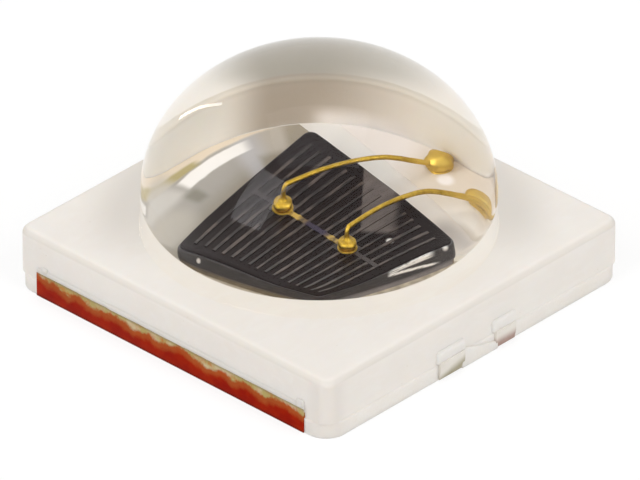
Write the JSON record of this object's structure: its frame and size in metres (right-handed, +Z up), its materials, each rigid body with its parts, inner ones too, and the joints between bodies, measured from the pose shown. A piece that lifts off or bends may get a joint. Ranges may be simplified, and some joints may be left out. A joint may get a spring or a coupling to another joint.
{
  "type": "high power led",
  "caption": "Square surface-mount high power LED: cream moulded housing, copper leads, dark chip with gold bond wires under a clear dome lens.",
  "frame": {"origin": "centre of the underside, on the solder plane", "axes": "+Z up through the crown of the lens; -Y towards the edge with the large lead's long copper strip; +Y towards the small lead that the bond wires run to; +X towards the side with the rib between its tie bars"},
  "size_m": [0.004, 0.004, 0.0022],
  "materials": {
    "housing_cream": "satin moulded",
    "lead_copper": "sawn and rolled",
    "plated_silver": "semi-bright plated",
    "die_adhesive": "dull",
    "chip_body": "sawn, semi-gloss",
    "chip_film": "polished",
    "contact_metal": "evaporated",
    "bond_gold": "melted",
    "lens_silicone": "clear moulded"
  },
  "bodies": {
    "root": {"housing": "housing_cream", "heat_pad": "lead_copper", "wire_lead": "lead_copper", "cup_floor_plating": "plated_silver", "bond_shelf_plating": "plated_silver", "heat_pad_plating": "plated_silver", "wire_lead_plating": "plated_silver", "die_attach": "die_adhesive", "chip": "chip_body", "emitting_film": "chip_film", "contact_lines": "contact_metal", "bond_pad_left": "bond_gold", "bond_pad_right": "bond_gold", "bond_wire_left": "bond_gold", "bond_wire_right": "bond_gold", "stitch_bump_left": "bond_gold", "stitch_bump_right": "bond_gold", "lens": "lens_silicone"}
  },
  "joints": []
}
